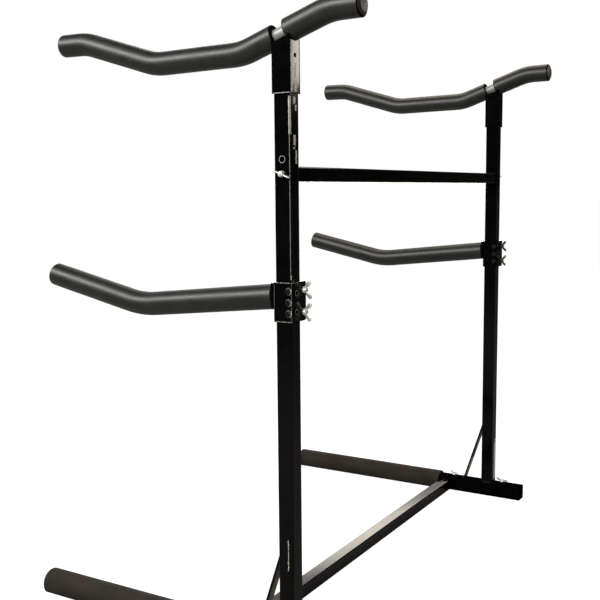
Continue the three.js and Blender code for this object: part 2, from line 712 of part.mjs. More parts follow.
// The cradle, with the crossbar's centre as its height zero
function addCradle(cradle, name) {
  const bore = armRadius - ARM_WALL;
  const longEnd = [CRADLE_TIP, CRADLE_OUTER_BEND, CRADLE_LOW_BEND, CRADLE_ROOT_BEND];
  const shortEnd = [CRADLE_SHORT_BEND, CRADLE_SHORT_TIP];
  const tube = sweptTube(new BentRun([...longEnd, ...shortEnd], CRADLE_BEND_RADIUS), armRadius, bore);
  place(cradle, `${name}_cradle_tube`, tube, brightSteel);

  // The foam's ends keep clear of the sleeve's walls
  const block = cradleSleeveSide + 2 * SEAT;
  const notch = new THREE.BoxGeometry(block, 2 * block, cradleAxisRise(0));
  notch.translate(0, 0, cradleAxisRise(0) / 2);
  const ends = {
    long: [...longEnd, pointAtReach(CRADLE_ROOT_BEND, CRADLE_SHORT_BEND, CRADLE_FOAM_FACE)],
    short: [pointAtReach(CRADLE_ROOT_BEND, CRADLE_SHORT_BEND, CRADLE_SHORT_FOAM_FACE), ...shortEnd],
  };
  for (const [end, corners] of Object.entries(ends)) {
    const run = new BentRun(corners, CRADLE_BEND_RADIUS);
    const sleeveFoam = sweptTube(run, CRADLE_FOAM_DIAMETER / 2, armRadius + FOAM_FIT);
    place(cradle, `${name}_cradle_foam_${end}`, cut(sleeveFoam, [notch]), foam);
  }

  addTipCap(cradle, `${name}_cradle_cap_long`, CRADLE_TIP, CRADLE_OUTER_BEND, bore - SEAT);
  addTipCap(cradle, `${name}_cradle_cap_short`, CRADLE_SHORT_TIP, CRADLE_SHORT_BEND, bore - SEAT);
  addCradleSleeve(cradle, name);
}

function addSide(stand, name, outward) {
  const side = new THREE.Group();
  side.position.y = (outward * SPACING) / 2;
  addUpright(side, name);
  addBaseSleeve(side, name);
  addBrace(side, name);
  addLeg(side, name);
  addLockBolts(side, name);
  addCrossbarBolt(side, name, outward);
  const clamp = new THREE.Group();
  clamp.position.z = ARM_BRACKET_HEIGHTS[name];
  addBracket(clamp, name);
  addArmPlate(clamp, name);
  addMiddleArm(clamp, name);
  side.add(clamp);
  const cradle = new THREE.Group();
  cradle.position.z = CROSSBAR_HEIGHT;
  addCradle(cradle, name);
  side.add(cradle);
  stand.add(side);
}

// Square tube lying along Y between the two sides, centred on y = 0
function addBar(stand, name, tube, length, x, height) {
  const bar = squareTube(tube.side, tube.wall, tube.corner, length);
  bar.translate(0, 0, -length / 2);
  place(stand, name, bar, blackSteel, [x, 0, height], [QUARTER, 0, 0]);
}

function addBars(stand) {
  const spreader = { side: SPREADER_SIDE, wall: SPREADER_WALL, corner: POST_CORNER };
  const spreaderLength = SPACING - baseSleeveSide - 2 * SEAT;
  addBar(stand, 'spreader_bar', spreader, spreaderLength, -spreaderPlace, SPREADER_SIDE / 2);
  const crossbar = { side: CROSSBAR_SIDE, wall: CROSSBAR_WALL, corner: CROSSBAR_CORNER };
  const crossbarLength = SPACING - POST_SIDE - 2 * (CROSSBAR_PLATE + 2 * SEAT);
  addBar(stand, 'crossbar', crossbar, crossbarLength, 0, CROSSBAR_HEIGHT);
}

const stand = new THREE.Group();
addSide(stand, 'near', -1);
addSide(stand, 'far', 1);
addBars(stand);

// The origin goes on the floor, in the middle of the outline
stand.updateMatrixWorld(true);
const outline = new THREE.Box3().setFromObject(stand, true);
const middle = outline.getCenter(new THREE.Vector3());
stand.position.set(-middle.x, -middle.y, -outline.min.z);
stand.updateMatrixWorld(true);

export default stand;
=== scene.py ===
import json
import math

import bmesh
import bpy
from mathutils import Matrix, Vector, noise


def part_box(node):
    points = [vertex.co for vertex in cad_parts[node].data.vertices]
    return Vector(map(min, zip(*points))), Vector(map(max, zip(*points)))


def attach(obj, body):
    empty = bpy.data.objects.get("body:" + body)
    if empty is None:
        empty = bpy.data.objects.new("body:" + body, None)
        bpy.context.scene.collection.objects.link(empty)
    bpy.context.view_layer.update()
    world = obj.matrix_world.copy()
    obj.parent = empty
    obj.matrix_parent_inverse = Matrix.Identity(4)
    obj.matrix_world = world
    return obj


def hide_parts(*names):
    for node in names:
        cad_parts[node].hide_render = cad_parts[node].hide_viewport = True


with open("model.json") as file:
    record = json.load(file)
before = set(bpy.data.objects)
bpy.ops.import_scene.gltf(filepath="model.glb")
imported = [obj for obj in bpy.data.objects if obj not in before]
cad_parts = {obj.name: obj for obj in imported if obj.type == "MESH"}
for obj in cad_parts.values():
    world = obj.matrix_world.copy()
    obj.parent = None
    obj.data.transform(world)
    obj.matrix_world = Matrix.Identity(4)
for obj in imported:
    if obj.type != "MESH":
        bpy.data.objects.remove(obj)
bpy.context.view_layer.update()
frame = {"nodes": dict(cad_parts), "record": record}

MM = 0.001
SIDES = ("near", "far")
X, Y, Z = Vector((1, 0, 0)), Vector((0, 1, 0)), Vector((0, 0, 1))
nodes = frame["nodes"]


def foot_of(side):
    """The middle of an upright's foot on the floor, from the CAD itself."""
    low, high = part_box(f"{side}_upright")
    return Vector(((low[0] + high[0]) / 2, (low[1] + high[1]) / 2, 0))


ORIGIN = {side: foot_of(side) for side in SIDES}

# Sizes in millimetres, as in the CAD: x and y from a side's upright, heights from the floor. The arm's
# heights and the rises of the bracket's bolts are from the bracket's middle.
POST_HALF, POST_CORNER = 20.65, 2.5
SLEEVE_HALF, SLEEVE_CORNER, SLEEVE_WALL, SLEEVE_FOOT = 24.45, 3.5, 3.2, 1350
PIN_HEIGHT, PIN_RADIUS = 1435, 5.5
CROSSBAR_HEIGHT, SPARE_HOLE_HEIGHT = 1170, 1203
TUBE_RADIUS, TUBE_WALL = 15.875, 2
CRADLE = [(-678, 1513), (-599, 1512), (-374, 1444), (-117, 1448), (116, 1528), (194, 1529)]
CRADLE_SLOPE = (CRADLE[4][1] - CRADLE[3][1]) / (CRADLE[4][0] - CRADLE[3][0])
CRADLE_BEND, CRADLE_FOAM = 170, 28.575
ARM = [(-740, 36), (-437, -30.4), (0, 13.5)]
ARM_BEND, ARM_FOAM, ARM_FACE = 260, 30.15, -32.4
LEG_REACH, LEG_START, LEG_TUBE, LEG_FOAM = -806, -187.3, 20.65, 36
FOAM_GAP = 0.35
FOAM_BORE = TUBE_RADIUS + FOAM_GAP
BRACKET_HEIGHT = {"near": 876, "far": 900}
BRACKET_HALF, BRACKET_CORNER, BRACKET_LENGTH = 25.8, 6.4, 93
BRACKET_BOLT_Y, BRACKET_BOLT_RISE, WELD_NUT_RISE = 26.65, 26, 22
SET_BOLT_X, SET_BOLT_SEAT, SET_BOLT_RISES = 17.5, BRACKET_HALF + 1.9, (26, 0, -26)
WELD_NUT_X, WELD_NUT_Y = BRACKET_HALF + 4, -11
BRACE_HEAD, BRACE_FOOT_X, BRACE_FACE, BRACE_HALF = 270, -94, 6.35, 12

# Where the cradle's foams end beside its sleeve, and the top of the notch that the sleeve takes from each
LONG_FOAM_END, LONG_NOTCH = -24.8, 1466.6
SHORT_FOAM_START, SHORT_NOTCH = 7, 1480.4

# Edges sharper than these angles are shaded sharp, and the CAD's edges past EDGE_ANGLE are rounded a little
SMOOTH_CAD, SMOOTH_PIECE = math.radians(48), math.radians(38)
EDGE_WIDTH, EDGE_STEPS, EDGE_ANGLE = 0.35 * MM, 2, math.radians(50)
NOISE_ROUGHNESS = 0.55


# Materials

class Shader:
    """A Principled material with short calls for the procedural nodes that vary it."""

    def __init__(self, name, color, roughness, metallic=0.0, **sockets):
        self.material = bpy.data.materials.new(name)
        self.material.use_nodes = True
        self.tree = self.material.node_tree
        self.bsdf = self.tree.nodes["Principled BSDF"]
        self.bsdf.inputs["Base Color"].default_value = (*color, 1)
        self.bsdf.inputs["Roughness"].default_value = roughness
        self.bsdf.inputs["Metallic"].default_value = metallic
        for socket, value in sockets.items():
            self.bsdf.inputs[socket.replace("_", " ")].default_value = value
        self.place = self.tree.nodes.new("ShaderNodeTexCoord").outputs["Object"]

    def link(self, a, b):
        self.tree.links.new(a, b)

    def noise(self, scale, detail, stretch=None):
        node = self.tree.nodes.new("ShaderNodeTexNoise")
        node.inputs["Scale"].default_value = scale
        node.inputs["Detail"].default_value = detail
        node.inputs["Roughness"].default_value = NOISE_ROUGHNESS
        source = self.place
        if stretch:
            mapping = self.tree.nodes.new("ShaderNodeMapping")
            mapping.inputs["Scale"].default_value = stretch
            self.link(source, mapping.inputs["Vector"])
            source = mapping.outputs["Vector"]
        self.link(source, node.inputs["Vector"])
        return node.outputs["Fac"]

    def cells(self, scale):
        node = self.tree.nodes.new("ShaderNodeTexVoronoi")
        node.inputs["Scale"].default_value = scale
        self.link(self.place, node.inputs["Vector"])
        return node.outputs["Distance"]

    def mottled(self, value, dark, pale):
        """Colours the surface between two stops, each a place on the ramp and a colour."""
        node = self.tree.nodes.new("ShaderNodeValToRGB")
        for element, (at, color) in zip(node.color_ramp.elements, (dark, pale)):
            element.position = at
            element.color = (*color, 1)
        self.link(value, node.inputs["Fac"])
        self.link(node.outputs["Color"], self.bsdf.inputs["Base Color"])

    def roughness(self, value, low, high):
        node = self.tree.nodes.new("ShaderNodeMapRange")
        node.inputs["To Min"].default_value = low
        node.inputs["To Max"].default_value = high
        self.link(value, node.inputs["Value"])
        self.link(node.outputs["Result"], self.bsdf.inputs["Roughness"])

    def bumped(self, distance, *heights):
        """Adds bumps one over the other, each a (value, strength), and gives the finished material."""
        normal = None
        for value, strength in heights:
            node = self.tree.nodes.new("ShaderNodeBump")
            node.inputs["Strength"].default_value = strength
            node.inputs["Distance"].default_value = distance
            self.link(value, node.inputs["Height"])
            if normal is not None:
                self.link(normal, node.inputs["Normal"])
            normal = node.outputs["Normal"]
        self.link(normal, self.bsdf.inputs["Normal"])
        return self.material


def black_paint(name="black_paint", level=0.13):
    """Black paint, with its specular level."""
    s = Shader(name, (0.0016, 0.0015, 0.0015), 0.17, Specular_IOR_Level=level)
    s.mottled(s.noise(22, 5), (0.35, (0.0008, 0.0008, 0.0008)), (0.7, (0.0022, 0.002, 0.0019)))
    s.roughness(s.noise(35, 4, stretch=(1, 1, 0.3)), 0.08, 0.15)
    return s.bumped(0.3 * MM, (s.noise(900, 2), 0.02), (s.noise(120, 3), 0.02))


def foam_material(name, dark, pale, rough, sheen, tint):
    """Closed-cell foam: a mottled skin with fine cells and a soft sheen."""
    s = Shader(name, dark, 0.5, Sheen_Weight=sheen, Sheen_Roughness=0.35)
    s.bsdf.inputs["Sheen Tint"].default_value = (*tint, 1)
    s.mottled(s.noise(14, 4), (0.3, dark), (0.72, pale))
    s.roughness(s.noise(28, 4), *rough)
    return s.bumped(0.5 * MM, (s.cells(620), 0.1), (s.noise(1400, 2), 0.08), (s.noise(45, 3), 0.1))


def cut_foam():
    """The open cells at a foam's cut end."""
    s = Shader("cut_foam", (0.002, 0.002, 0.0019), 0.95, Specular_IOR_Level=0.05)
    return s.bumped(0.4 * MM, (s.cells(700), 0.3))


def bright_tube():
    s = Shader("bright_tube", (0.24, 0.24, 0.23), 0.5, metallic=0.45)
    s.mottled(s.noise(60, 4), (0.3, (0.19, 0.19, 0.185)), (0.7, (0.29, 0.29, 0.28)))
    s.roughness(s.noise(300, 3, stretch=(0.15, 1, 1)), 0.4, 0.58)
    return s.bumped(0.2 * MM, (s.noise(700, 2, stretch=(0.1, 1, 1)), 0.06))


def zinc_plate(name="zinc_plate", shade=1.0):
    s = Shader(name, (0.8 * shade, 0.8 * shade, 0.77 * shade), 0.3, metallic=0.65)
    low, high = ((shade * a, shade * a, shade * b) for a, b in ((0.7, 0.67), (0.94, 0.9)))
    s.mottled(s.noise(180, 4), (0.3, low), (0.7, high))
    s.roughness(s.noise(240, 3), 0.2, 0.4)
    return s.bumped(0.15 * MM, (s.noise(1600, 2), 0.1))


def cap_plastic():
    s = Shader("cap_plastic", (0.022, 0.022, 0.021), 0.48, Specular_IOR_Level=0.2)
    s.mottled(s.noise(70, 3), (0.3, (0.018, 0.018, 0.017)), (0.7, (0.026, 0.026, 0.025)))
    s.roughness(s.noise(160, 3), 0.4, 0.56)
    return s.bumped(0.2 * MM, (s.noise(1500, 2), 0.12))


def painted_light_paint(name, dark, pale):
    """Paint rubbed down to its pale primer and the steel below, used for painted highlights and painted
    reflections on the black steel.
    """
    s = Shader(name, pale, 0.5, metallic=0.1)
    s.mottled(s.noise(260, 4), (0.36, dark), (0.62, pale))
    s.roughness(s.noise(300, 3), 0.35, 0.6)
    return s.bumped(0.1 * MM, (s.noise(1800, 2), 0.1))


def black_oxide():
    s = Shader("black_oxide", (0.02, 0.02, 0.02), 0.25, metallic=0.8)
    s.mottled(s.noise(200, 3), (0.3, (0.012, 0.012, 0.012)), (0.7, (0.035, 0.034, 0.032)))
    s.roughness(s.noise(260, 3), 0.2, 0.36)
    return s.bumped(0.1 * MM, (s.noise(1500, 2), 0.06))


# Painted highlights along edges and corners, and painted reflections of the floor and walls on faces, in
# tones from pale to dim
PAINTED_BEIGE_REFLECTION = painted_light_paint("painted_light_paint", (0.2, 0.19, 0.165), (0.5, 0.48, 0.42))
PAINTED_GREY_HIGHLIGHT = painted_light_paint("painted_grey_highlight", (0.1, 0.097, 0.09), (0.27, 0.26, 0.24))
PAINTED_DIM_HIGHLIGHT = painted_light_paint("painted_dim_highlight", (0.06, 0.058, 0.055), (0.16, 0.155, 0.15))
PAINTED_PALE_REFLECTION = painted_light_paint("painted_pale_reflection", (0.45, 0.43, 0.38), (0.92, 0.9, 0.82))
PAINTED_BROWN_REFLECTION = painted_light_paint("painted_brown_reflection", (0.1, 0.082, 0.045), (0.2, 0.17, 0.11))
BLACK_OXIDE = black_oxide()
# Zinc darkened to 0.12 of its colour, for the far side's wing nuts
DARK_ZINC = zinc_plate("dark_zinc", 0.12)
BASE_PAINT = black_paint("base_paint", 0.0)
CUT_FOAM = cut_foam()
PAINT, TUBE, ZINC, CAP = black_paint(), bright_tube(), zinc_plate(), cap_plastic()
FOAM = foam_material("foam_skin", dark=(0.0035, 0.0036, 0.0032), pale=(0.009, 0.0088, 0.0075),
                     rough=(0.37, 0.5), sheen=0.05, tint=(1, 0.85, 0.62))
LEG_SKIN = foam_material("foam_dusty", dark=(0.01, 0.0075, 0.0045), pale=(0.021, 0.016, 0.01),
                         rough=(0.78, 0.9), sheen=0.02, tint=(1, 0.85, 0.65))
LEG_SKIN.node_tree.nodes["Principled BSDF"].inputs["Specular IOR Level"].default_value = 0.25
BY_SLOT = {"black_paint": PAINT, "foam": FOAM, "bright_tube": TUBE, "zinc": ZINC, "plastic_cap": CAP}


def shade_by_angle():
    """A node group that shades a faceted solid smooth, except over its sharp edges."""
    group = bpy.data.node_groups.new("shade_by_angle", "GeometryNodeTree")
    group.interface.new_socket("Geometry", in_out="INPUT", socket_type="NodeSocketGeometry")
    group.interface.new_socket("Geometry", in_out="OUTPUT", socket_type="NodeSocketGeometry")
    start = group.nodes.new("NodeGroupInput")
    end = group.nodes.new("NodeGroupOutput")
    faces = group.nodes.new("GeometryNodeSetShadeSmooth")
    edges = group.nodes.new("GeometryNodeSetShadeSmooth")
    edges.domain = "EDGE"
    edges.inputs["Shade Smooth"].default_value = False
    angle = group.nodes.new("GeometryNodeInputMeshEdgeAngle")
    compare = group.nodes.new("FunctionNodeCompare")
    compare.operation = "GREATER_THAN"
    compare.inputs[1].default_value = SMOOTH_CAD
    links = group.links
    links.new(start.outputs[0], faces.inputs[0])
    links.new(faces.outputs[0], edges.inputs[0])
    links.new(angle.outputs["Unsigned Angle"], compare.inputs[0])
    links.new(compare.outputs[0], edges.inputs["Selection"])
    links.new(edges.outputs[0], end.inputs[0])
    return group


def dress_cad():
    """Gives each CAD node its slot's material, softly rounded edges and smooth shading."""
    shading = shade_by_angle()
    slots = {entry["node"]: entry["material_slot"] for entry in frame["record"]["subparts"]}
    for name, obj in nodes.items():
        obj.data.materials.clear()
        obj.data.materials.append(BY_SLOT[slots[name]])
        bevel = obj.modifiers.new("soft edges", "BEVEL")
        bevel.width = EDGE_WIDTH
        bevel.segments = EDGE_STEPS
        bevel.limit_method = "ANGLE"
        bevel.angle_limit = EDGE_ANGLE
        obj.modifiers.new("shading", "NODES").node_group = shading


dress_cad()


# Meshes and pieces

def linked(name, data):
    """An object in the scene for a mesh, a lamp or a camera."""
    obj = bpy.data.objects.new(name, data)
    bpy.context.collection.objects.link(obj)
    return obj


def solid_object(name, mesh, material=None):
    """Turns a bmesh of closed shells into an object in the scene."""
    bmesh.ops.recalc_face_normals(mesh, faces=mesh.faces)
    data = bpy.data.meshes.new(name)
    mesh.to_mesh(data)
    mesh.free()
    if material:
        data.materials.append(material)
    return linked(name, data)


def box_solid(name, low, high):
    mesh = bmesh.new()
    bmesh.ops.create_cube(mesh, size=1)
    for v in mesh.verts:
        v.co = Vector([lo if c < 0 else hi for c, lo, hi in zip(v.co, low, high)])
    return solid_object(name, mesh)


def boolean(obj, other, operation):
    """Cuts the other solid from obj, or joins it to obj, and removes it."""
    mod = obj.modifiers.new("cut", "BOOLEAN")
    mod.operation = operation
    mod.object = other
    mod.solver = "EXACT"
    graph = bpy.context.evaluated_depsgraph_get()
    done = bpy.data.meshes.new_from_object(obj.evaluated_get(graph), depsgraph=graph)
    obj.modifiers.clear()
    obj.data = done
    bpy.data.objects.remove(other)


def bridge(mesh, rings):
    """Joins each ring of vertices to the next one."""
    for a, b in zip(rings, rings[1:]):
        for k in range(len(a)):
            mesh.faces.new((a[k], a[(k + 1) % len(a)], b[(k + 1) % len(a)], b[k]))


def turned(axis, degrees):
    return Matrix.Rotation(math.radians(degrees), 4, axis)


def seated(obj, node, body, matrix):
    """Puts a finished piece in its place, shaded smooth but for its sharp edges."""
    obj.data.transform(matrix)
    obj.data.shade_smooth()
    obj.data.set_sharp_from_angle(angle=SMOOTH_PIECE)
    if node:
        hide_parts(node)
    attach(obj, body)


def soft_piece(obj, side, node, body):
    """Moves a sleeve or tube to its side's plane, in place of a CAD node."""
    obj.data.transform(Matrix.Translation((0, ORIGIN[side].y, 0)))
    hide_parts(node)
    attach(obj, body)


def mark_or_weld_piece(name, side, body, mesh, material):
    """A painted highlight, a painted reflection or a weld on the painted steel, as a piece of its own."""
    seated(solid_object(name, mesh, material), None, body, Matrix.Translation(ORIGIN[side]))


# Foams and cradle tubes, swept along bent paths

SWEEP_SIDES, SWEEP_STEP = 56, 6 * MM
LIP_STEPS, LIP_ROOM, LIP_DARK = 4, 1.2, 0.62
BORE_INSET = 5 * MM
NOTCH_FOOT, NOTCH_GAP = 1000, 0.3

# The skin wavers by a coarse and a fine noise, each with its frequency and share
COARSE, COARSE_SHARE, FINE, FINE_SHARE = 9, 0.7, 34, 0.3

# A pressed sleeve widens below a share of its radius, and stays just over the floor
PRESS_HEIGHT, PRESS_SPREAD, PRESS_FLOOR = 0.55, 0.05, 0.15 * MM

# Seeds of the skins on the near side. The far side's are one more.
SEEDS = {"arm": 3, "long": 7, "short": 11, "leg": 17}


def bent_path(corners, radius, step):
    """Points and directions along straight runs joined by arcs, in the XZ plane, a step apart."""
    pts = [Vector((x, 0, z)) for x, z in corners]
    out = []

    def straight(a, b):
        run = b - a
        count = max(1, round(run.length / step))
        for i in range(count):
            out.append((a + run * (i / count), run.normalized()))

    at = pts[0]
    for before, corner, after in zip(pts, pts[1:], pts[2:]):
        into = (corner - before).normalized()
        onward = (after - corner).normalized()
        angle = into.angle(onward)
        setback = radius * math.tan(angle / 2)
        start = corner - into * setback
        straight(at, start)
        inward = (onward - into * into.dot(onward)).normalized()
        centre = start + inward * radius
        count = max(3, round(angle * radius / step))
        for i in range(count):
            swing = angle * i / count
            point = centre - inward * (radius * math.cos(swing)) + into * (radius * math.sin(swing))
            out.append((point, into * math.cos(swing) + inward * math.sin(swing)))
        at = corner + onward * setback
    straight(at, pts[-1])
    out.append((pts[-1].copy(), (pts[-1] - pts[-2]).normalized()))
    return out


def lengths_along(path):
    out = [0.0]
    for (a, _), (b, _) in zip(path, path[1:]):
        out.append(out[-1] + (b - a).length)
    return out


def sleeve(name, corners, bend, outer, inner, seed=0, lip=2.6, wobble=0.35, pressed=False, cut=None):
    """A tube along a bent path with rounded ends and a skin that wavers a little, built in the plane y = 0.

    Radii, lip and wobble are in millimetres. A pressed sleeve lies flat on the floor. One with a cut, given
    by the low and high corners of a block, leaves that block free and has dark ends.
    """
    path = bent_path(corners, bend * MM, SWEEP_STEP)
    along = lengths_along(path)
    outer, inner, lip, wobble = (size * MM for size in (outer, inner, lip, wobble))
    first, last = path[0], path[-1]
    mesh = bmesh.new()

    def ring(point, tangent, radius, soft):
        up = Y.cross(tangent).normalized() * (-1 if Y.cross(tangent).z < 0 else 1)
        verts = []
        for k in range(SWEEP_SIDES):
            a = math.tau * k / SWEEP_SIDES
            outward = up * math.cos(a) + Y * math.sin(a)
            place = point + outward * radius
            if soft:
                drift = noise.noise(place * COARSE + Vector((seed, 0, 0))) * COARSE_SHARE
                drift += noise.noise(place * FINE + Vector((0, seed, 0))) * FINE_SHARE
                place = place + outward * drift * wobble
            verts.append(mesh.verts.new(place))
        return verts

    def lip_ring(end, way, k):
        t = math.pi / 2 * k / LIP_STEPS
        point, tangent = end
        place = point + tangent * way * lip * (1 - math.cos(t))
        return ring(place, tangent, outer - lip * (1 - math.sin(t)), True)

    def stations(inset):
        return [at for at, length in zip(path, along) if inset < length < along[-1] - inset]

    skin = [ring(*first, inner, False)]
    skin += [lip_ring(first, 1, k) for k in range(LIP_STEPS + 1)]
    skin += [ring(*at, outer, True) for at in stations(lip * LIP_ROOM)]
    skin += [lip_ring(last, -1, k) for k in reversed(range(LIP_STEPS + 1))]
    skin.append(ring(*last, inner, False))
    bridge(mesh, skin)
    bore = [ring(*at, inner, False) for at in reversed(stations(BORE_INSET))]
    bridge(mesh, skin[-1:] + bore + skin[:1])
    if pressed:
        crushed = outer * PRESS_HEIGHT
        for v in mesh.verts:
            if v.co.z < crushed:
                v.co.y *= 1 + PRESS_SPREAD * (1 - v.co.z / crushed)
            v.co.z = max(v.co.z, PRESS_FLOOR)
    mesh.normal_update()
    obj = solid_object(name, mesh, FOAM)
    obj.data.shade_smooth()
    if cut:
        obj.data.materials.append(CUT_FOAM)
        ends = (first, (last[0], -last[1]))
        for face in obj.data.polygons:
            if any((face.center - end).dot(way) < lip * LIP_DARK for end, way in ends):
                face.material_index = 1
        boolean(obj, box_solid(f"{name}_cut", *cut), "DIFFERENCE")
    return obj


def on_line(a, b, x):
    share = (x - a[0]) / (b[0] - a[0])
    return (x, a[1] + share * (b[1] - a[1]))


def placed(corners, side, rise=0):
    return [(ORIGIN[side].x + x * MM, (z + rise) * MM) for x, z in corners]


def notch(side, top):
    """The room that a cradle's square sleeve takes from the foam beside it."""
    x0, block = ORIGIN[side].x, (SLEEVE_HALF + NOTCH_GAP) * MM
    return (x0 - block, -block, NOTCH_FOOT * MM), (x0 + block, block, top * MM)


def add_sleeves(side, index):
    """One side's foams and its cradle's tube. The index keeps the two sides' skins apart."""
    arm_corners = placed([ARM[0], ARM[1], on_line(ARM[1], ARM[2], ARM_FACE)], side, BRACKET_HEIGHT[side])
    arm = sleeve(f"{side}_arm_sleeve", arm_corners, ARM_BEND, ARM_FOAM, FOAM_BORE, SEEDS["arm"] + index)
    soft_piece(arm, side, f"{side}_arm_foam", f"{side}_arm")

    long_corners = placed(CRADLE[:4] + [on_line(CRADLE[3], CRADLE[4], LONG_FOAM_END)], side)
    long = sleeve(f"{side}_cradle_sleeve_long", long_corners, CRADLE_BEND, CRADLE_FOAM, FOAM_BORE,
                  SEEDS["long"] + index, cut=notch(side, LONG_NOTCH))
    soft_piece(long, side, f"{side}_cradle_foam_long", f"{side}_cradle")

    short_corners = placed([on_line(CRADLE[3], CRADLE[4], SHORT_FOAM_START)] + CRADLE[4:], side)
    short = sleeve(f"{side}_cradle_sleeve_short", short_corners, CRADLE_BEND, CRADLE_FOAM, FOAM_BORE,
                   SEEDS["short"] + index, cut=notch(side, SHORT_NOTCH))
    soft_piece(short, side, f"{side}_cradle_foam_short", f"{side}_cradle")

    tube = sleeve(f"{side}_cradle_pipe", placed(CRADLE, side), CRADLE_BEND, TUBE_RADIUS,
                  TUBE_RADIUS - TUBE_WALL, lip=0.4, wobble=0)
    tube.data.materials[0] = TUBE
    soft_piece(tube, side, f"{side}_cradle_tube", f"{side}_cradle")

    leg_corners = placed([(LEG_REACH, SLEEVE_HALF), (LEG_START, SLEEVE_HALF)], side)
    leg = sleeve(f"{side}_leg_sleeve", leg_corners, 0, LEG_FOAM, LEG_TUBE + FOAM_GAP, SEEDS["leg"] + index,
                 lip=3.2, pressed=True)
    leg.data.materials[0] = LEG_SKIN
    soft_piece(leg, side, f"{side}_leg_foam", f"{side}_leg")


for index, side in enumerate(SIDES):
    add_sleeves(side, index)


# Wing bolts, wing nuts and cradle sockets

# Sizes of the cast wings: radii of the hub and its top, height of the hub, reach and rise of a wing's tip,
# its thickness and the radius of its lobe
LOCK_WING = dict(hub=7.4, top=6.2, height=10, reach=25.5, rise=12.5, thick=3.0, lobe=4.6)
CROSS_WING = {"near": LOCK_WING, "far": {**LOCK_WING, "reach": 23.5}}
NUT_WING = {"near": dict(hub=7.6, top=5.8, height=9, reach=22, rise=21, thick=3.2, lobe=5)}
NUT_WING["far"] = {**NUT_WING["near"], "reach": 19, "rise": 18.5, "lobe": 4.2}

# A wing's lowest height, the share of the hub's height at its root, and how its outline draws in (inset) at
# depths under its face
WING_FOOT, WING_ROOT = 1.2, 0.72
ROUNDING = [(0, 1.1), (0.35, 0.4), (1.0, 0)]

# Where the wing bolts and nuts sit and how far they are turned, in degrees
LOCK_PLACES = {"front": (-134, -40), "back": (53, -22)}
LOCK_SEAT, SHANK_RADIUS = 54.9, 5
CROSS_SEAT, CROSS_TILT = POST_HALF + 0.3, -21
NUT_SEAT, NUT_BORE = BRACKET_HALF + 0.3, 4.35
NUT_SPOTS = {"top": (BRACKET_BOLT_RISE, 8), "bottom": (-BRACKET_BOLT_RISE, -6)}
LATHE_SIDES, CORNER_STEPS = 32, 6


def lathe(mesh, profile):
    """A solid turned about Z from a closed profile of (radius, height) in millimetres."""
    rings = []
    for r, z in ((r * MM, z * MM) for r, z in profile):
        if r == 0:
            rings.append([mesh.verts.new((0, 0, z))] * LATHE_SIDES)
        else:
            angles = [math.tau * k / LATHE_SIDES for k in range(LATHE_SIDES)]
            rings.append([mesh.verts.new((r * math.cos(a), r * math.sin(a), z)) for a in angles])
    pairs = list(zip(rings, rings[1:]))
    if profile[0][0] > 0:
        pairs.append((rings[-1], rings[0]))
    for a, b in pairs:
        for k in range(LATHE_SIDES):
            corners = [a[k], a[(k + 1) % LATHE_SIDES], b[(k + 1) % LATHE_SIDES], b[k]]
            face = [v for i, v in enumerate(corners) if v not in corners[:i]]
            if len(face) > 2:
                mesh.faces.new(face)


def rod(name, radius, low, high, matrix=Matrix()):
    """A round rod along Z between two heights, moved by a matrix, to cut a hole with."""
    mesh = bmesh.new()
    lathe(mesh, [(0, low), (radius, low), (radius, high), (0, high)])
    mesh.transform(matrix)
    return solid_object(name, mesh)


def curve(points, count):
    """Places along a quadratic curve through two ends and towards a middle point, without its first one."""
    (ax, az), (bx, bz), (cx, cz) = points
    for i in range(1, count + 1):
        t = i / count
        start, middle, end = (1 - t) ** 2, 2 * t * (1 - t), t * t
        yield start * ax + middle * bx + end * cx, start * az + middle * bz + end * cz


def blade_outline(size):
    """The outline of one cast wing from the axis out: (reach, rise) pairs, with a round lobe at its tip."""
    lobe, root_height = size["lobe"], size["height"] * WING_ROOT
    cx, cz = size["reach"] - lobe, size["rise"] - lobe
    root = (size["hub"] * 0.75, WING_FOOT)
    lower = [root, (cx - lobe * 0.2, max(0.6, cz - lobe * 1.3)), (cx + lobe * 0.72, cz - lobe * 0.7)]
    upper = [(cx - lobe * 0.5, cz + lobe * 0.86), (cx - lobe * 1.7, cz + lobe * 0.5),
             (size["top"] * 0.7, root_height)]
    angles = [math.radians(-44 + 164 * i / 10) for i in range(1, 11)]
    tip = [(cx + lobe * math.cos(a), cz + lobe * math.sin(a)) for a in angles]
    return [(0, WING_FOOT), root, *curve(lower, 6), *tip, *curve(upper, 6), (0, root_height)]


def blade(size, way):
    """One wing of a wing bolt or nut, towards +X or -X, with its faces rounded over."""
    outline = blade_outline(size)
    mesh = bmesh.new()
    layers = []
    half = size["thick"] / 2
    depths = [(depth - half, inset) for depth, inset in ROUNDING]
    depths += [(half - depth, inset) for depth, inset in reversed(ROUNDING)]
    for y, inset in depths:
        layer = []
        for i, (u, w) in enumerate(outline):
            before, after = outline[i - 1], outline[(i + 1) % len(outline)]
            along = Vector((after[0] - before[0], after[1] - before[1])).normalized()
            if u > 0:
                u, w = u - along.y * inset, w + along.x * inset
            else:
                w += inset if w < 3 else -inset
            layer.append(mesh.verts.new((way * u * MM, y * MM, w * MM)))
        layers.append(layer)
    bridge(mesh, layers)
    mesh.faces.new(layers[0])
    mesh.faces.new(layers[-1])
    return solid_object("blade", mesh)


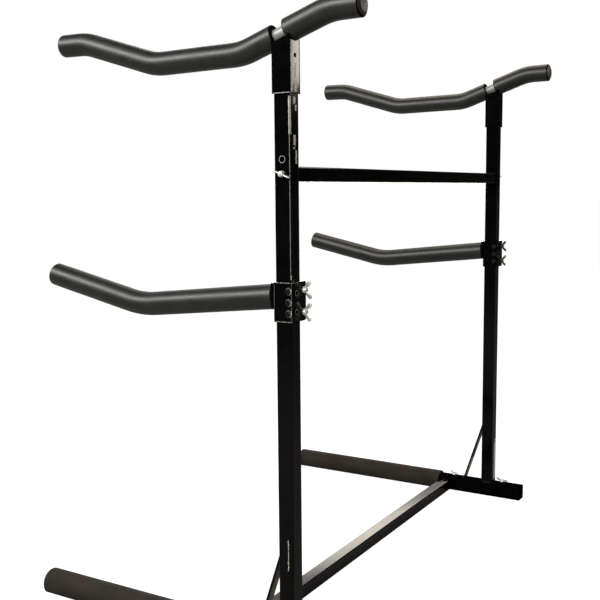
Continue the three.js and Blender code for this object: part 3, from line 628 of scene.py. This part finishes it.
def winged(name, size, shank_length=None, bore=None):
    """A wing bolt with a shank towards -Z, or a wing nut with a bore, seated on z = 0."""
    hub, top, height = size["hub"], size["top"], size["height"]
    rim = [(hub - 0.6, 0), (hub, 0.6), (hub, 2.4), (hub - 0.5, 3), (top + 0.3, height - 1.4),
           (top - 1.1, height)]
    if bore:
        profile = [(bore, 0.7), (bore + 0.7, 0)] + rim + [(bore + 0.7, height), (bore, height - 0.7)]
    else:
        radius, foot = SHANK_RADIUS, -shank_length
        profile = [(0, foot), (radius - 0.9, foot), (radius, 0.9 + foot), (radius, 0)] + rim
        profile += [(top - 2.2, height + 0.5), (0, height + 0.8)]
    mesh = bmesh.new()
    lathe(mesh, profile)
    obj = solid_object(name, mesh, ZINC)
    for way in (1, -1):
        part = blade(size, way)
        if bore:
            boolean(part, rod("bore", bore * 1.2, -10, 20), "DIFFERENCE")
        boolean(obj, part, "UNION")
    return obj


def add_wings(side):
    at = ORIGIN[side]
    outward = -1 if side == "near" else 1
    for spot, (x, tilt) in LOCK_PLACES.items():
        name = f"{side}_lock_wing_bolt_{spot}"
        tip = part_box(name)[0][2] / MM
        obj = winged(f"{name}_cast", LOCK_WING, LOCK_SEAT - tip)
        place = Matrix.Translation(at + Vector((x, 0, LOCK_SEAT)) * MM)
        seated(obj, name, name, place @ turned("Z", tilt))
    name = f"{side}_crossbar_wing_bolt"
    low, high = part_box(name)
    inward = high[1] - at.y if outward < 0 else at.y - low[1]
    obj = winged(f"{name}_cast", CROSS_WING[side], inward / MM + CROSS_SEAT)
    place = Matrix.Translation(at + Vector((0, outward * CROSS_SEAT, CROSSBAR_HEIGHT)) * MM)
    seated(obj, name, name, place @ turned("X", -outward * 90) @ turned("Z", CROSS_TILT))
    for spot, (rise, tilt) in NUT_SPOTS.items():
        name = f"{side}_bracket_wing_nut_{spot}"
        obj = winged(f"{name}_cast", NUT_WING[side], bore=NUT_BORE)
        if side == "far":
            obj.data.materials[0] = DARK_ZINC
        place = Matrix.Translation(at + Vector((NUT_SEAT, BRACKET_BOLT_Y, BRACKET_HEIGHT[side] + rise)) * MM)
        seated(obj, name, f"{side}_wing_nut_{spot}", place @ turned("Y", 90) @ turned("Z", tilt))


def square_ring(mesh, half, corner, height):
    """One ring of a rounded square section, its height given by a function of x."""
    ring = []
    for quarter in range(4):
        for i in range(CORNER_STEPS + 1):
            a = math.pi / 2 * (quarter + i / CORNER_STEPS)
            cx = (half - corner) * (1 if quarter in (0, 3) else -1)
            cy = (half - corner) * (1 if quarter in (0, 1) else -1)
            x, y = cx + corner * math.cos(a), cy + corner * math.sin(a)
            ring.append(mesh.verts.new((x * MM, y * MM, height(x) * MM)))
    return ring


def cradle_height(x):
    """The height of the cradle tube's axis beside its upright."""
    return CRADLE[3][1] + (x - CRADLE[3][0]) * CRADLE_SLOPE


def add_cradle_socket(side):
    """The square sleeve under a cradle tube, cut to the tube's slope so that the tube lies on it."""
    under = (TUBE_RADIUS + 0.3) * math.sqrt(1 + CRADLE_SLOPE * CRADLE_SLOPE)
    inner, bore_corner, edge = SLEEVE_HALF - SLEEVE_WALL, SLEEVE_CORNER - 1.5, 0.5

    def foot(x):
        return SLEEVE_FOOT

    def top(x):
        return cradle_height(x) - under

    mesh = bmesh.new()
    rings = [square_ring(mesh, half, corner, height) for half, corner, height in (
        (inner, bore_corner, foot), (SLEEVE_HALF - edge, SLEEVE_CORNER, foot),
        (SLEEVE_HALF, SLEEVE_CORNER, lambda x: foot(x) + edge),
        (SLEEVE_HALF, SLEEVE_CORNER, lambda x: top(x) - edge),
        (SLEEVE_HALF - edge, SLEEVE_CORNER, top), (inner, bore_corner, top))]
    bridge(mesh, rings + rings[:1])
    obj = solid_object(f"{side}_cradle_socket", mesh, PAINT)
    pin = Matrix.Translation(Vector((15, 0, PIN_HEIGHT)) * MM) @ turned("Y", 90)
    boolean(obj, rod("pin", PIN_RADIUS, 0, 20, pin), "DIFFERENCE")
    seated(obj, f"{side}_cradle_sleeve", f"{side}_cradle", Matrix.Translation(ORIGIN[side]))


# Painted highlights and painted reflections, made as rubbed paint

POST_TUBE = (POST_HALF, POST_CORNER)
SOCKET_TUBE = (SLEEVE_HALF, SLEEVE_CORNER)
BRACKET_TUBE = (BRACKET_HALF, BRACKET_CORNER)

# How far a mark stands off the surface in its middle and at its edge, and how deep it goes under it
MARK_LIFT, MARK_BASE, MARK_ROOT = 0.16, 0.04, 0.3

# How fast marks feather out along and across, and the spacing of their rows and columns
FEATHER_ALONG, FEATHER_ACROSS = 6, 4
MARK_ROW, MARK_COLUMN, MOST_COLUMNS = 5, 1.2, 40
RING_ROWS, ARC_ROWS = 40, 16

# Radii of the painted highlights round fasteners, and the start and sweep of those that are parts of a ring
SPARE_RING, NUT_OUTLINE = (7.0, 8.5), (7.3, 5.9)
BOLT_RING, BOLT_GLINT = (7.4, 8.4, 40, 220), (5.2, 8.5, -92, 130)


def patch(mesh, rows, cols, place, wrap=False):
    """A thin closed skin over a surface that feathers out at its edges.

    place(t, c) gives a point in millimetres and its normal. A wrapped skin joins its last row to its first.
    """
    outer, inner = [], []
    for i in range(rows + (0 if wrap else 1)):
        t = i / rows
        top, back = [], []
        for k in range(cols + 1):
            c = k / cols
            point, normal = place(t, c)
            feather = 1 if wrap else min(1, FEATHER_ALONG * min(t, 1 - t))
            lift = MARK_LIFT * feather * min(1, FEATHER_ACROSS * min(c, 1 - c))
            top.append(mesh.verts.new((point + normal * (MARK_BASE + lift)) * MM))
            back.append(mesh.verts.new((point - normal * MARK_ROOT) * MM))
        outer.append(top)
        inner.append(back)
    for i in range(rows):
        j = (i + 1) % rows if wrap else i + 1
        for grid in (outer, inner):
            for k in range(cols):
                mesh.faces.new((grid[i][k], grid[i][k + 1], grid[j][k + 1], grid[j][k]))
        for k in (0, cols):
            mesh.faces.new((outer[i][k], outer[j][k], inner[j][k], inner[i][k]))
    if not wrap:
        for i in (0, rows):
            for k in range(cols):
                mesh.faces.new((outer[i][k], outer[i][k + 1], inner[i][k + 1], inner[i][k]))


def on_corner(half, corner, s, z, flip=1):
    """A place on a square tube and the normal there, s mm round from the middle of its corner.

    The corner is the one at -Y and +X, or at -Y and -X with flip -1.
    """
    arc = corner * math.pi / 2
    if s < -arc / 2:
        return Vector((flip * (half - corner + s + arc / 2), -half, z)), Vector((0, -1, 0))
    if s > arc / 2:
        return Vector((flip * half, corner - half + s - arc / 2, z)), Vector((flip, 0, 0))
    a = (s + arc / 2) / corner
    normal = Vector((flip * math.sin(a), -math.cos(a), 0))
    return Vector((flip * (half - corner), corner - half, z)) + normal * corner, normal


def painted_strip(mesh, tube, low, high, s0, s1, rough, flip=1):
    """A strip of painted light on a tube (half side, corner) between two heights and two places round its
    corner, made as rubbed paint.
    """
    rows = max(3, round((high - low) / MARK_ROW))
    cols = max(4, min(MOST_COLUMNS, round((s1 - s0) / MARK_COLUMN)))

    def place(t, c):
        z = low + (high - low) * t
        sway = noise.noise(Vector((z * 0.11, s0 * 3, 0.5))) * rough
        tight = noise.noise(Vector((z * 0.19, s1 * 3, 7.5))) * rough
        s = s0 + sway + (s1 - s0 + tight - sway) * c
        lean = noise.noise(Vector((s * 0.3, low, 2.5))) * rough * (0.5 - t)
        return on_corner(*tube, s, z + lean, flip)

    patch(mesh, rows, cols, place)


def ring_mark(mesh, centre, across, up, r0, r1, start=0, sweep=360, crescent=False):
    """A ring, or part of one that narrows to its ends, on the plane of two directions."""
    normal = across.cross(up)

    def place(t, c):
        a = math.radians(start + sweep * t)
        inner = r0 + (r1 - r0) * (1 - math.sin(math.pi * min(max(t, 0.02), 0.98))) if crescent else r0
        r = inner + (r1 - inner) * c
        return centre + (across * math.cos(a) + up * math.sin(a)) * r, normal

    whole = sweep == 360
    patch(mesh, RING_ROWS if whole else ARC_ROWS, 4, place, wrap=whole)


def hex_mark(mesh, centre, across, up, outer, inner):
    """A ring along a hexagon's sides, on the plane of two directions."""
    normal = across.cross(up)

    def place(t, c):
        step = t * 6
        k = math.floor(step) % 6
        a, b = (math.radians(60 * (k + d) + 30) for d in (0, 1))
        share = step - math.floor(step)
        r = inner + (outer - inner) * c
        point = Vector((math.cos(a), math.sin(a))).lerp(Vector((math.cos(b), math.sin(b))), share) * r
        return centre + across * point.x + up * point.y, normal

    patch(mesh, 36, 3, place, wrap=True)


def brace_reflection(side):
    """A painted reflection of the floor on a brace's inner face, which faces down: all of the near one, and
    the lower third of the far one.
    """
    mesh = bmesh.new()
    head, foot = Vector((-POST_HALF, 0, BRACE_HEAD)), Vector((BRACE_FOOT_X, 0, 2 * SLEEVE_HALF))
    normal = Vector((head.z - foot.z, 0, foot.x - head.x)).normalized()
    start, end = 0.1 if side == "near" else 0.62, 0.955

    def place(t, c):
        sway = noise.noise(Vector((t * 9, c * 3, 4.5))) * 0.02 * (1 - t)
        along = head.lerp(foot, start + sway + (end - start - sway) * t)
        return along + normal * BRACE_FACE + Vector((0, -BRACE_HALF + 2 * BRACE_HALF * c, 0)), normal

    patch(mesh, 30, 8, place)
    # The near face gets a browner painted reflection, the far one a paler
    mark_or_weld_piece(f"{side}_brace_painted_reflection", side, "frame", mesh, PAINTED_BROWN_REFLECTION if side == "near" else PAINTED_PALE_REFLECTION)


def painted_strips(name, side, body, material, tube, patches):
    """One piece of strips of painted light on a tube, each given by the values that the strip function above
    takes after its tube.
    """
    mesh = bmesh.new()
    for values in patches:
        painted_strip(mesh, tube, *values)
    mark_or_weld_piece(name, side, body, mesh, material)


def near_painted_light():
    """The near side's painted highlights and painted reflections, made as rubbed paint: on corners and edges
    of the post, the socket and the bracket, and round fasteners.
    """
    side, arm, cradle = "near", "near_arm", "near_cradle"
    middle = BRACKET_HEIGHT[side]
    top, foot = middle + BRACKET_LENGTH / 2, middle - BRACKET_LENGTH / 2
    # Painted reflections and highlights on the post's corners and faces
    painted_strips("near_post_painted_reflections", side, "frame", PAINTED_BEIGE_REFLECTION, POST_TUBE, [
        (1259, 1344, -2.2, 6.6, 0.8), (1327, 1344, 17, 26, 1.6), (1312, 1326, 24, 31, 1.6),
        (1235, 1258, 16, 27, 1.6), (1226, 1231, 15.5, 24, 1.6), (1193, 1224, 25, 32, 1.6),
        (top + 6, top + 16, -0.5, 4.5, 1.6), (229, 304, -15, -12.8, 1.6)])

    # A painted highlight round the spare hole's rim, and painted highlights along the post's corner
    ring = bmesh.new()
    ring_mark(ring, Vector((0, -POST_HALF, SPARE_HOLE_HEIGHT)), X, Z, *SPARE_RING)
    painted_strip(ring, POST_TUBE, 1172, 1259, -0.9, 0.9, 0.25)
    painted_strip(ring, POST_TUBE, top + 5, 1170, -0.85, 0.85, 0.25)
    mark_or_weld_piece("near_post_painted_highlights", side, "frame", ring, PAINTED_GREY_HIGHLIGHT)

    # A painted highlight along the socket's lower edge, and painted reflections on its +X face
    painted_strips("near_socket_painted_edge_highlight", side, cradle, PAINTED_GREY_HIGHLIGHT, SOCKET_TUBE, [
        (SLEEVE_FOOT + 0.4, SLEEVE_FOOT + 2.2, -43, 4, 0.5)])
    painted_strips("near_socket_painted_reflections", side, cradle, PAINTED_BEIGE_REFLECTION, SOCKET_TUBE, [
        (1353, 1392, 5.5, 12, 1.8), (1396, 1452, 5, 12.6, 1.8), (1354, 1379, 21, 30, 1.8),
        (1384, 1418, 20, 29, 1.8)])

    # Painted highlights along the bracket's top and lower edges, round the weld nuts and round the set
    # bolts' seats
    clamp = bmesh.new()
    for s0, s1 in ((-41, -34), (-31, -21), (-19, -3), (-1, 12), (15, 31)):
        painted_strip(clamp, BRACKET_TUBE, top - 2.0, top - 0.3, s0, s1, 0.6)
    for s0, s1 in ((-42, -30), (-28, -14), (-12, 1)):
        painted_strip(clamp, BRACKET_TUBE, foot + 0.3, foot + 1.9, s0, s1, 0.6)
    for rise in (WELD_NUT_RISE, -WELD_NUT_RISE):
        hex_mark(clamp, Vector((WELD_NUT_X, WELD_NUT_Y, middle + rise)), Y, Z, *NUT_OUTLINE)
    seats = [Vector((SET_BOLT_X, -SET_BOLT_SEAT, middle + rise)) for rise in SET_BOLT_RISES]
    for seat in seats:
        ring_mark(clamp, seat, X, Z, *BOLT_RING)
    mark_or_weld_piece("near_bracket_painted_highlights", side, arm, clamp, PAINTED_GREY_HIGHLIGHT)

    # Painted highlights along the bracket's corners
    painted_strips("near_bracket_painted_corner_highlights", side, arm, PAINTED_DIM_HIGHLIGHT, BRACKET_TUBE, [
        (foot + 3, top - 3, -0.7, 0.7, 0.2), (top - 62, top - 5, -2.6, -1.0, 0.4, -1)])

    # Zinc crescents are painted highlights on the set bolts' lit flanges
    bright = bmesh.new()
    for seat in seats:
        ring_mark(bright, seat, X, Z, *BOLT_GLINT, crescent=True)
    mark_or_weld_piece("near_set_bolt_glints", side, arm, bright, ZINC)


def add_painted_light(side):
    """Painted highlights and painted reflections, made as paint rubbed through. The far side has only a few
    low on its post and brace.
    """
    brace_reflection(side)
    if side == "near":
        near_painted_light()
    else:
        # A painted reflection of the floor low on the far post's +X face
        painted_strips("far_post_painted_reflection", side, "frame", PAINTED_PALE_REFLECTION, POST_TUBE, [
            (60, 200, 19, 37.5, 3), (200, 212, 28, 38, 1.6)])


# Welds

BEAD_STEP, BEAD_SIDES = 1.2, 10


def bead(mesh, points, radius, seed):
    """A weld bead: a rippled strand laid along points in millimetres."""
    path = []
    for a, b in zip(points, points[1:]):
        a, run = Vector(a), Vector(b) - Vector(a)
        count = max(2, round(run.length / BEAD_STEP))
        path += [(a.lerp(Vector(b), i / count), run.normalized()) for i in range(count)]
    path.append((Vector(points[-1]), path[-1][1]))
    rings = []
    for i, (point, along) in enumerate(path):
        across = along.cross(Z if abs(along.z) < 0.9 else X).normalized()
        up = across.cross(along)
        end = min(1, 0.35 + 0.65 * min(i, len(path) - 1 - i) / 2)
        ripple = 0.13 * math.sin(i * 1.9)
        size = radius * end * (1 + ripple + 0.12 * noise.noise(point * 0.2 + Vector((seed, 0, 0))))
        angles = [math.tau * k / BEAD_SIDES for k in range(BEAD_SIDES)]
        spokes = [across * math.cos(a) + up * math.sin(a) for a in angles]
        rings.append([mesh.verts.new((point + spoke * size) * MM) for spoke in spokes])
    bridge(mesh, rings)
    mesh.faces.new(rings[0])
    mesh.faces.new(rings[-1])


def local(node, side):
    """A CAD node's box in millimetres from its side's upright."""
    return [[(v - o) / MM for v, o in zip(corner, ORIGIN[side])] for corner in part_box(node)]


def add_welds(side):
    mesh = bmesh.new()
    h = POST_HALF + 0.4
    z = 2 * SLEEVE_HALF + 0.6
    corners = [(-h, -h), (h, -h), (h, h), (-h, h)]
    for (ax, ay), (bx, by) in zip(corners, corners[1:] + corners[:1]):
        end_x = bx * 0.9 if ay == by else bx
        bead(mesh, [(ax * 0.9, ay * 0.98, z), (end_x, by * 0.9, z)], 1.9, 1)
    low, high = local(f"{side}_brace", side)
    for y in (low[1] - 0.2, high[1] + 0.2):
        bead(mesh, [(low[0] + 1.5, y, z), (low[0] + 8.5, y, z)], 1.6, 2)
        bead(mesh, [(-h, y, high[2] - 18), (-h, y, high[2] - 3)], 1.6, 4)
    bead(mesh, [(low[0] - 0.4, low[1] + 1, z), (low[0] - 0.4, high[1] - 1, z)], 1.8, 3)
    bar_low, bar_high = local("spreader_bar", side)
    inner = SLEEVE_HALF + 0.2 if side == "near" else -SLEEVE_HALF - 0.2
    for x in (bar_low[0], bar_high[0]):
        bead(mesh, [(x, inner, 4), (x, inner, bar_high[2] - 3)], 1.7, 5)
    bead(mesh, [(bar_low[0] + 3, inner, bar_high[2]), (bar_high[0] - 3, inner, bar_high[2])], 1.9, 6)
    mark_or_weld_piece(f"{side}_base_welds", side, "frame", mesh, PAINT)

    joint = bmesh.new()
    for x in (-SLEEVE_HALF + 1.5, SLEEVE_HALF - 1.5):
        z = cradle_height(x) - TUBE_RADIUS - 0.4
        bead(joint, [(x, -8, z + 0.3), (x, -3, z - 0.9), (x, 3, z - 0.9), (x, 8, z + 0.3)], 1.8, 7)
    mark_or_weld_piece(f"{side}_cradle_welds", side, f"{side}_cradle", joint, PAINT)


for side in SIDES:
    add_wings(side)
    add_cradle_socket(side)
    add_painted_light(side)
    add_welds(side)
    for number in (1, 2, 3):
        nodes[f"{side}_bracket_set_bolt_{number}"].data.materials[0] = BLACK_OXIDE
    for part in ("base_sleeve", "base_sleeve_cap"):
        nodes[f"{side}_{part}"].data.materials[0] = BASE_PAINT


# Floor, world, light and camera

# Reflections see white towards the backdrop, a share of it in the floor, and a dim room elsewhere
ROOM, FLOOR_SHARE = 0.02, 0.2
BACKDROP, BACKDROP_EDGE = (-0.6, 0.8, 0), (0.62, 0.85)

# Diffuse light from the world grows from its lower to its upper part
FILL_HEIGHTS, FILL = (-0.3, 1.0), (0.1, 0.4)
FLOOR_SIZE, FLOOR_DROP, FLOOR_GREY, FLOOR_WHITE = 400, 0.2 * MM, 0.2, 0.93


def joined(tree, operation, *values):
    """Joins sockets and numbers by one Math operation."""
    result = values[0]
    for value in values[1:]:
        node = tree.nodes.new("ShaderNodeMath")
        node.operation = operation
        for socket, item in zip(node.inputs, (result, value)):
            if isinstance(item, (int, float)):
                socket.default_value = item
            else:
                tree.links.new(item, socket)
        result = node.outputs[0]
    return result


def spread(tree, value, a, b, low, high):
    """A smooth step from low at a to high at b."""
    node = tree.nodes.new("ShaderNodeMapRange")
    node.interpolation_type = "SMOOTHSTEP"
    for socket, number in zip(("From Min", "From Max", "To Min", "To Max"), (a, b, low, high)):
        node.inputs[socket].default_value = number
    tree.links.new(value, node.inputs["Value"])
    return node.outputs["Result"]


def towards_backdrop(tree, vector):
    """1 where a vector points at the backdrop behind the stand, and ROOM well off it."""
    length = tree.nodes.new("ShaderNodeVectorMath")
    length.operation = "NORMALIZE"
    tree.links.new(vector, length.inputs[0])
    dot = tree.nodes.new("ShaderNodeVectorMath")
    dot.operation = "DOT_PRODUCT"
    dot.inputs[1].default_value = BACKDROP
    tree.links.new(length.outputs[0], dot.inputs[0])
    return spread(tree, dot.outputs["Value"], *BACKDROP_EDGE, ROOM, 1.0)


def floor_material():
    """A floor that is white to the camera, and in part to reflections that look towards the backdrop."""
    material = bpy.data.materials.new("floor")
    material.use_nodes = True
    tree = material.node_tree
    tree.nodes.clear()
    out = tree.nodes.new("ShaderNodeOutputMaterial")
    add = tree.nodes.new("ShaderNodeAddShader")
    diffuse = tree.nodes.new("ShaderNodeBsdfDiffuse")
    glow = tree.nodes.new("ShaderNodeEmission")
    rays = tree.nodes.new("ShaderNodeLightPath").outputs
    place = tree.nodes.new("ShaderNodeTexCoord").outputs["Object"]
    sweep = joined(tree, "MULTIPLY", towards_backdrop(tree, place), FLOOR_SHARE)
    seen = joined(tree, "MAXIMUM", rays["Is Camera Ray"], rays["Is Transmission Ray"],
                  joined(tree, "MULTIPLY", rays["Is Glossy Ray"], sweep))
    diffuse.inputs["Color"].default_value = (FLOOR_GREY, FLOOR_GREY, FLOOR_GREY, 1)
    tree.links.new(joined(tree, "MULTIPLY", seen, FLOOR_WHITE), glow.inputs["Strength"])
    tree.links.new(diffuse.outputs[0], add.inputs[0])
    tree.links.new(glow.outputs[0], add.inputs[1])
    tree.links.new(add.outputs[0], out.inputs["Surface"])
    return material


def add_floor():
    mesh = bmesh.new()
    bmesh.ops.create_grid(mesh, x_segments=1, y_segments=1, size=FLOOR_SIZE / 2)
    data = bpy.data.meshes.new("floor")
    mesh.to_mesh(data)
    mesh.free()
    data.materials.append(floor_material())
    obj = linked("floor", data)
    obj.location = (0, 0, -FLOOR_DROP)


def add_world():
    """White to the camera. Reflections see it white behind the stand, and a darker room elsewhere."""
    world = bpy.data.worlds.new("studio")
    world.use_nodes = True
    tree = world.node_tree
    tree.nodes.clear()
    out = tree.nodes.new("ShaderNodeOutputWorld")
    background = tree.nodes.new("ShaderNodeBackground")
    background.inputs["Color"].default_value = (1, 1, 1, 1)
    rays = tree.nodes.new("ShaderNodeLightPath").outputs
    direction = tree.nodes.new("ShaderNodeTexCoord").outputs["Generated"]
    parts = tree.nodes.new("ShaderNodeSeparateXYZ")
    tree.links.new(direction, parts.inputs[0])
    backdrop = towards_backdrop(tree, direction)
    fill = spread(tree, parts.outputs["Z"], *FILL_HEIGHTS, *FILL)
    strength = joined(tree, "MAXIMUM", rays["Is Camera Ray"], rays["Is Transmission Ray"],
                      joined(tree, "MULTIPLY", rays["Is Glossy Ray"], backdrop),
                      joined(tree, "MULTIPLY", rays["Is Diffuse Ray"], fill))
    tree.links.new(strength, background.inputs["Strength"])
    tree.links.new(background.outputs[0], out.inputs["Surface"])
    bpy.context.scene.world = world


def area(name, place, aim, size, power, color):
    data = bpy.data.lights.new(name, "AREA")
    data.shape = "RECTANGLE"
    data.size, data.size_y = size
    data.energy = power
    data.color = color
    obj = linked(name, data)
    obj.location = place
    obj.rotation_euler = (Vector(aim) - Vector(place)).to_track_quat("-Z", "Y").to_euler()


WARM = (1, 0.9, 0.76)
add_floor()
add_world()
area("key", (-0.88, -3.5, 3.12), (-0.2, -0.7, 1.0), (7.1, 0.68), 361, (1, 0.99, 0.97))
area("top", (-0.3, 1.6, 3.6), (0, 0.1, 0.8), (3.0, 1.2), 45, WARM)
area("side", (1.47, 1.2, 1.87), (0.33, -0.7, 1.42), (0.5, 0.5), 11, WARM)
area("strip", (-1.2, 2.6, 1.16), (0.13, 1.0, 0.04), (2.9, 0.34), 20, WARM)

# The camera's place from the near upright's foot, its angles, and its focal length in pixels
CAMERA = Vector((1.1243, -1.8318, 1.1316))
YAW, PITCH, ROLL = (math.radians(a) for a in (-30.804, 6.705, 0.494))
FOCAL, PICTURE_WIDTH, SENSOR_WIDTH = 928.12, 600, 36


def add_camera():
    forward = Vector((math.sin(YAW) * math.cos(PITCH), math.cos(YAW) * math.cos(PITCH), -math.sin(PITCH)))
    level = Vector((math.cos(YAW), -math.sin(YAW), 0))
    down = forward.cross(level)
    right = level * math.cos(ROLL) + down * math.sin(ROLL)
    down = down * math.cos(ROLL) - level * math.sin(ROLL)
    data = bpy.data.cameras.new("camera")
    data.sensor_fit = "HORIZONTAL"
    data.sensor_width = SENSOR_WIDTH
    data.lens = FOCAL / PICTURE_WIDTH * SENSOR_WIDTH
    data.clip_end = 500
    obj = linked("camera", data)
    turn = Matrix((right, -down, -forward)).transposed().to_4x4()
    obj.matrix_world = Matrix.Translation(CAMERA + ORIGIN["near"]) @ turn
    bpy.context.scene.camera = obj


add_camera()
bpy.context.scene.view_settings.view_transform = "Standard"
